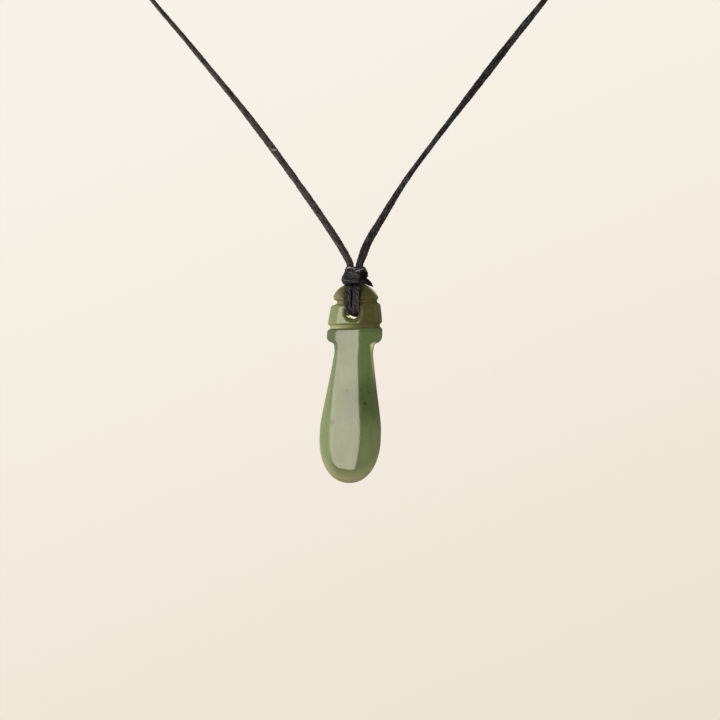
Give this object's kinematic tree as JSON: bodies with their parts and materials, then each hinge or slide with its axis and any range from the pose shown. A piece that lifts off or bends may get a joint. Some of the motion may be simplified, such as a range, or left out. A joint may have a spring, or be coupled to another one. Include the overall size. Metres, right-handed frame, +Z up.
{
  "type": "mere pendant on a neck cord",
  "caption": "Small polished greenstone club pendant, hung by its drilled handle from a looped, bound and knotted waxed neck cord.",
  "frame": {"origin": "the nape of the neck, at the middle of the sliding knot, where the neck cord is carried", "axes": "+Z up, -Y forward from the nape to the pendant on the chest, +X to the pendant's right as it is looked at"},
  "size_m": [0.1285, 0.1436, 0.1681],
  "materials": {
    "greenstone": "polished, slightly translucent",
    "waxed_cord": "waxed"
  },
  "bodies": {
    "cord": {"neck_cord": "waxed_cord", "hanging_strand_left": "waxed_cord", "hanging_strand_right": "waxed_cord", "binding": "waxed_cord", "binding_tail": "waxed_cord", "nape_knot": "waxed_cord"},
    "stone": {"mere": "greenstone"}
  },
  "joints": [
    {"name": "stone_swing", "type": "hinge", "parent": "cord", "child": "stone", "pos_m": [-0.00075, -0.137, -0.12345], "axis": [0, 1, 0], "range_deg": [-25, 25]}
  ]
}
